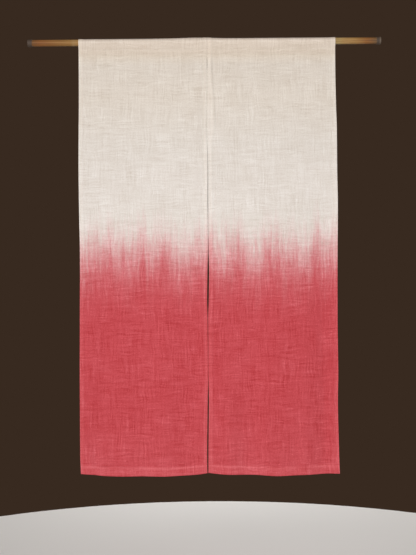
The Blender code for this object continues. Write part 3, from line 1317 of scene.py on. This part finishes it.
    def seams(
        self, x: np.ndarray, depth: np.ndarray, below_rod: np.ndarray, foot: np.ndarray
    ) -> np.ndarray:
        """How stitches draw the cloth in, how it puckers beside them, and how hems raise it.

        Args:
            x: Places across the cloth, rows by columns.
            depth: Their depths.
            below_rod: 1 for rows below the rod and 0 for those over it.
            foot: The foot's depth for each column.

        Returns:
            The y offsets, rows by columns.
        """
        left, right = self.shape.edges(self.side, depth)
        hem_left, hem_right = self.hem_widths(depth)
        away = np.stack(
            [
                np.abs(depth - self.stitch_depth),
                np.abs(foot[None, :] - self.foot_stitch - depth),
                np.abs(x - left - hem_left * self.side_stitch),
                np.abs(right - hem_right * self.side_stitch - x),
            ]
        ).min(axis=0)
        drawn = self.groove * np.exp(-((away / self.groove_half) ** 2))
        puckered = self.pucker.at(x, depth) * np.exp(-((away / self.pucker_half) ** 2))
        lifted = self.raised(x, depth, foot[None, :])
        return (drawn + puckered - lifted) * below_rod[:, None]

    def layers_and_painted_light(self, x: np.ndarray, depth: np.ndarray, foot: np.ndarray) -> np.ndarray:
        """How much second layers and painted highlights pale the cloth; painted shade darkens the fold at
        its foot.

        Args:
            x: Places across the cloth, rows by columns.
            depth: Their depths.
            foot: The foot's depth for each column.

        Returns:
            The tones; a plain second layer has 1.
        """
        left, right = self.shape.edges(self.side, depth)
        hem_left, hem_right = self.hem_widths(depth)
        outer, inner, inner_hem = x - left, right - x, hem_right
        if self.side is Side.RIGHT:
            outer, inner, inner_hem = right - x, x - left, hem_left
        height = foot[None, :] - depth
        side = 1.0 - step(self.inside_hems(x, depth), self.tone_fade)
        low = step(self.foot_hem - height, self.tone_fade)
        # Painted highlight along the outer folded edge.
        paler_outer = self.edge_highlight * (1.0 - ease(outer / self.edge_highlight_width))
        # Painted highlights along a line inside the slit-side hem and, patchy, along one across the foot
        # hem.
        beside_slit = np.exp(-(((inner - self.ridge_highlight_share * inner_hem) / self.ridge_highlight_half) ** 2))
        on_foot = np.exp(-(((height - self.foot_highlight) / self.foot_highlight_half) ** 2))
        on_foot = on_foot * self.foot_highlight_tone * (1.0 + self.patchy.at(x, depth))
        paler_part = np.maximum(self.ridge_highlight_tone * beside_slit, on_foot)
        # Painted shade along the lower edge, where the cloth turns under at its foot.
        foot_shade = self.foot_shade_tone * (1.0 - ease(height / self.foot_shade_height))
        tone = np.maximum(side, low) + paler_outer + paler_part - foot_shade
        if self.side is Side.LEFT:
            seam = (1.0 - ease((depth - self.seam_end) / self.seam_fade)) * (x > (left + right) / 2)
            tone = tone * (1.0 - self.seam_evens * seam)
        return tone

    def unfolded(self, x: np.ndarray, depth: np.ndarray) -> np.ndarray:
        """Places across the flat cloth, with the turned hems laid out beyond the edges.

        Args:
            x: Places across the hanging cloth, rows by columns.
            depth: Their depths.

        Returns:
            The x values on the flat cloth, rows by columns.
        """
        left, right = self.shape.edges(self.side, depth)
        low, high = (-self.nominal, 0.0) if self.side is Side.LEFT else (0.0, self.nominal)
        flat = low + (x - left) / (right - left) * (high - low)
        for number, (kind, way, _) in enumerate(self.columns):
            if kind == "turned":
                edge = low if way < 0 else high
                flat[:, number] = 2 * edge - flat[:, number]
        return flat

    def build(self) -> bpy.types.Object:
        """Make the sheet.

        Returns:
            The sheet's object, with its UV map in metres of unfolded cloth and its tone attribute, painted
            light included.
        """
        level = np.full((1, len(self.columns)), LEVELS[-1].depth)
        foot = self.foot_at(self.across(level))[0]
        rows = self.sleeve_rows() + self.hanging_rows(foot)
        depth = np.array([row.depth for row in rows])
        below_rod = np.array([row.run is not Run.SLEEVE_TOP for row in rows], dtype=float)
        x = self.across(depth)
        y = np.array([row.y for row in rows]) + self.seams(x, depth, below_rod, foot)
        z = -depth
        run = np.cumsum(np.hypot(np.diff(y, axis=0), np.diff(z, axis=0)), axis=0)
        run = np.vstack([np.zeros((1, run.shape[1])), run])
        first_front = next(number for number, row in enumerate(rows) if row.run is Run.FRONT)
        length = run - run[first_front] + self.meet_depth
        step_y, step_z = np.gradient(y, axis=0), np.gradient(z, axis=0)
        offset = self.turned_back()[None, :] / np.hypot(step_y, step_z)
        places = (x + self.shape.middle, y - offset * step_z, z + offset * step_y)
        obj = self.grid(np.stack(places, axis=-1))
        self.mark(obj.data, self.unfolded(x, depth), -length, self.layers_and_painted_light(x, depth, foot))
        obj.data.materials.append(self.linen.material("dipped_linen_" + self.side.value))
        solid = obj.modifiers.new("cloth_thickness", "SOLIDIFY")
        solid.thickness = self.thickness
        solid.offset = 0.0
        bpy.ops.object.modifier_apply(modifier=solid.name)
        bpy.ops.object.shade_smooth_by_angle(angle=math.radians(self.smooth_below))
        self.sheet = obj
        return obj

    def grid(self, places: np.ndarray) -> bpy.types.Object:
        """Shape a grid to rows by columns of points.

        Args:
            places: The points' places, rows by columns by three.

        Returns:
            The grid's object.
        """
        row_count, column_count = places.shape[:2]
        bpy.ops.object.select_all(action="DESELECT")
        bpy.ops.mesh.primitive_grid_add(x_subdivisions=column_count - 1, y_subdivisions=row_count - 1)
        obj = bpy.context.object
        obj.name = self.name
        obj.data.name = self.name
        obj.data.vertices.foreach_set("co", places.astype(np.float32).ravel())
        obj.data.update()
        return obj

    def mark(
        self, mesh: bpy.types.Mesh, across: np.ndarray, along: np.ndarray, layers: np.ndarray
    ) -> None:
        """Write a mesh's UV map, in metres of flat cloth, and its tone attribute.

        Args:
            mesh: The mesh, with one value of each array for each vertex.
            across: Places across the flat cloth.
            along: Places up the flat cloth.
            layers: How much each place is paled by second layers and painted highlights, less its painted
                shade.
        """
        for old in list(mesh.uv_layers):
            mesh.uv_layers.remove(old)
        uv_map = mesh.uv_layers.new(name=CLOTH_UV)
        corner = np.empty(len(mesh.loops), np.int32)
        mesh.loops.foreach_get("vertex_index", corner)
        places = np.stack([across.ravel()[corner], along.ravel()[corner]], axis=-1)
        uv_map.data.foreach_set("uv", places.astype(np.float32).ravel())
        tone = mesh.attributes.new(TONE_ATTRIBUTE, "FLOAT", "POINT")
        tone.data.foreach_set("value", layers.astype(np.float32).ravel())

    def dress(self, stitching: bpy.types.Object) -> None:
        """Args:
            stitching: The stitches, which move with the sheet; not used.
        """
        hems = self.hem_widths(np.array([[self.measured_at]]))
        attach(self.sheet, BODY)
        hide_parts("panel_" + self.side.value)


@dataclass
class Stitching:
    """The visible stitches of one panel: along its sleeve, its foot hem and both side hems."""

    panel: Panel
    linen: DippedLinen
    pitch: float = 4.4 * MM
    length: float = 3.2 * MM
    thread: float = 0.55 * MM
    # A stitch is a prism; its ends are inset and drawn out by shares of the thread's thickness.
    thread_sides: int = 6
    tip_inset: float = 0.22
    tip_length: float = 0.3
    sunk: float = 0.1
    from_edge: float = 3 * MM
    below_sleeve: float = 8 * MM
    foot_end: float = 1.436
    paleness: float = 1.6

    def one_stitch(self) -> bpy.types.Object:
        """Model a single stitch lying along X, its ends drawn in where they enter the cloth.

        Returns:
            The stitch, at the origin.
        """
        bpy.ops.object.select_all(action="DESELECT")
        bpy.ops.mesh.primitive_cylinder_add(
            vertices=self.thread_sides, radius=self.thread / 2, depth=self.length
        )
        stitch = bpy.context.object
        bpy.ops.object.mode_set(mode="EDIT")
        bpy.ops.mesh.select_all(action="SELECT")
        bpy.ops.transform.rotate(value=math.pi / 2, orient_axis="Y", center_override=(0, 0, 0))
        bpy.ops.mesh.select_all(action="DESELECT")
        bpy.ops.object.mode_set(mode="OBJECT")
        for face in stitch.data.polygons:
            face.select = len(face.vertices) == self.thread_sides
        bpy.ops.object.mode_set(mode="EDIT")
        bpy.ops.mesh.inset(thickness=self.thread * self.tip_inset, depth=self.thread * self.tip_length)
        bpy.ops.object.mode_set(mode="OBJECT")
        return stitch

    def places(self) -> list[tuple[float, float, float]]:
        """Where the stitches lie.

        Returns:
            For each stitch, its x, its depth and its turn from level.
        """
        panel = self.panel
        found = []
        top = np.array([[panel.stitch_depth]])
        left, right = (float(edge[0, 0]) for edge in panel.shape.edges(panel.side, top))
        foot = Track.through(FEET[panel.side], "depth")
        for x in np.arange(left + self.from_edge, right - self.from_edge, self.pitch):
            found.append((float(x), panel.stitch_depth, 0.0))
            low = float(foot.at(np.array(x)))
            found.append((float(x), low - panel.foot_stitch, 0.0))
        for depth in np.arange(panel.stitch_depth + self.below_sleeve, self.foot_end, self.pitch):
            place = np.array([[depth]])
            edges = panel.shape.edges(panel.side, place)
            hems = panel.hem_widths(place)
            for edge, hem, way in ((edges[0], hems[0], 1), (edges[1], hems[1], -1)):
                x = float(edge[0, 0] + way * hem[0, 0] * panel.side_stitch)
                found.append((x, float(depth), math.pi / 2))
        return found

    def build(self) -> bpy.types.Object:
        """Copy the stitch to every place and join the copies.

        Returns:
            The stitches' object, at the origin.
        """
        panel = self.panel
        first = self.one_stitch()
        places = self.places()
        x, depth = (np.array([place[column] for place in places])[:, None] for column in (0, 1))
        fronts = panel.front_face(x, depth)[:, 0] + panel.groove - self.thread * self.sunk
        collection = bpy.context.scene.collection
        stitches = [first] + [first.copy() for _ in places[1:]]
        for stitch, place, front in zip(stitches, places, fronts):
            if stitch is not first:
                stitch.data = first.data.copy()
                collection.objects.link(stitch)
            spot = (place[0] + panel.shape.middle, float(front), -place[1])
            stitch.matrix_world = Matrix.Translation(spot) @ Matrix.Rotation(place[2], 4, "Y")
            stitch.select_set(True)
        bpy.context.view_layer.objects.active = first
        bpy.ops.object.join()
        bpy.ops.object.transform_apply(location=True, rotation=True, scale=True)
        first.name = "stitches_" + panel.side.value
        mesh = first.data
        mesh.name = first.name
        mesh.shade_smooth()
        corners = np.array([vertex.co for vertex in mesh.vertices])
        pale = np.full(len(corners), self.paleness)
        panel.mark(mesh, corners[:, 0] - panel.shape.middle, corners[:, 2], pale)
        mesh.materials.append(self.linen.material("linen_thread_" + panel.side.value))
        return first

    def dress(self, obj: bpy.types.Object) -> None:
        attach(obj, BODY)


@dataclass
class RodAndCaps:
    """The rod and its end caps, whose solids stay and only get their finishes."""

    wood: BrownedWood
    rubber: MouldedRubber

    def dress(self) -> None:
        """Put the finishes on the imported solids."""
        finishes = {
            "rod": self.wood.material("browned_wood"),
            "end_cap_left": self.rubber.material("moulded_rubber"),
        }
        finishes["end_cap_right"] = finishes["end_cap_left"]
        for node, material in finishes.items():
            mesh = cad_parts[node].data
            mesh.materials.clear()
            mesh.materials.append(material)
            log.info("finish %s on %s", material.name, node)


class Lamp(NamedTuple):
    """A soft square lamp: its name, place, size across in metres and power in watts."""

    name: str
    place: tuple[float, float, float]
    size: float
    power: float


@dataclass
class Studio:
    """A pale floor, soft lamps and the camera at the photograph's angle."""

    paint: FloorPaint
    distance: float = 3.5
    # Metres in a pixel of the photo, the pixel row of the rod's axis and the column of the cloth's middle.
    scale: float = 3.414 * MM
    axis_row: float = 41.9
    cloth_column: float = 209.05
    roll_degrees: float = 0.45
    floor_drop: float = 0.50
    floor_radius: float = 1.9
    floor_sides: int = 96
    surround: str = "#382a20"
    surround_strength: float = 1.0
    lamps: tuple[Lamp, ...] = (
        Lamp("key", (-3.0, -9.0, 1.3), 3.2, 390.0),
        Lamp("fill", (0.7, -3.2, -0.26), 2.4, 65.0),
        Lamp("back", (0.9, 3.4, 0.3), 2.4, 100.0),
    )

    def floor(self) -> None:
        """Lay the floor below the curtain's foot."""
        bpy.ops.object.select_all(action="DESELECT")
        low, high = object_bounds()
        place = ((low.x + high.x) / 2, 0.0, low.z - self.floor_drop)
        bpy.ops.mesh.primitive_circle_add(
            vertices=self.floor_sides, radius=self.floor_radius, fill_type="NGON", location=place
        )
        floor = bpy.context.object
        floor.name = "floor"
        floor.data.materials.append(self.paint.material("floor_paint"))
        floor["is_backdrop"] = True

    def light(self, lamp: Lamp) -> None:
        """Hang a lamp so that it faces the middle of the curtain and stays out of the pictures.

        Args:
            lamp: The lamp's name, place, size and power.
        """
        bpy.ops.object.light_add(type="AREA", location=lamp.place)
        obj = bpy.context.object
        obj.name = lamp.name
        obj.data.shape = "SQUARE"
        obj.data.size = lamp.size
        obj.data.energy = lamp.power
        low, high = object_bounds()
        towards = (low + high) / 2 - Vector(lamp.place)
        obj.rotation_euler = towards.to_track_quat("-Z", "Y").to_euler()
        obj.visible_camera = False

    def camera(self, middle: float) -> None:
        """Set the camera at the photograph's angle.

        Args:
            middle: The x of the cloth's middle.
        """
        x = middle + (PHOTO_WIDTH / 2 - self.cloth_column) * self.scale
        z = -(PHOTO_HEIGHT / 2 - self.axis_row) * self.scale
        bpy.ops.object.camera_add(location=(x, -self.distance, z), rotation=(math.pi / 2, 0, 0))
        camera = bpy.context.object
        camera.name = "photo_view"
        half = math.atan(PHOTO_HEIGHT * self.scale / 2 / self.distance)
        camera.data.lens = camera.data.sensor_width / 2 / math.tan(half)
        roll = Matrix.Rotation(math.radians(-self.roll_degrees), 4, "Z")
        camera.matrix_world = camera.matrix_world @ roll
        bpy.context.scene.camera = camera

    def surroundings(self) -> None:
        """Give the studio its plain dim walls, and show colours as they are."""
        scene = bpy.context.scene
        world = bpy.data.worlds.new("studio")
        world.use_nodes = True
        background = world.node_tree.nodes["Background"]
        background.inputs[0].default_value = linear(self.surround)
        background.inputs[1].default_value = self.surround_strength
        scene.world = world
        scene.view_settings.view_transform = "Standard"

    def build(self, middle: float) -> None:
        """Set up the floor, the surroundings, the lamps and the camera.

        Args:
            middle: The x of the cloth's middle.
        """
        self.floor()
        self.surroundings()
        for lamp in self.lamps:
            self.light(lamp)
        self.camera(middle)


def main() -> None:
    """Build the curtain's pieces in order, then the studio round them."""
    logging.basicConfig(level=logging.INFO, format="%(name)s: %(message)s")
    shape = HangingShape()
    linen = DippedLinen()
    for side in Side:
        panel = Panel(side, shape, linen)
        sheet = panel.build()
        stitching = Stitching(panel, linen)
        stitches = stitching.build()
        stitching.dress(stitches)
        panel.dress(stitches)
        for piece in (sheet, stitches):
            triangles = sum(len(face.vertices) - 2 for face in piece.data.polygons)
            log.info("%s: %d triangles", piece.name, triangles)
    RodAndCaps(BrownedWood(), MouldedRubber()).dress()
    Studio(FloorPaint()).build(shape.middle)


if __name__ == "__main__":
    main()
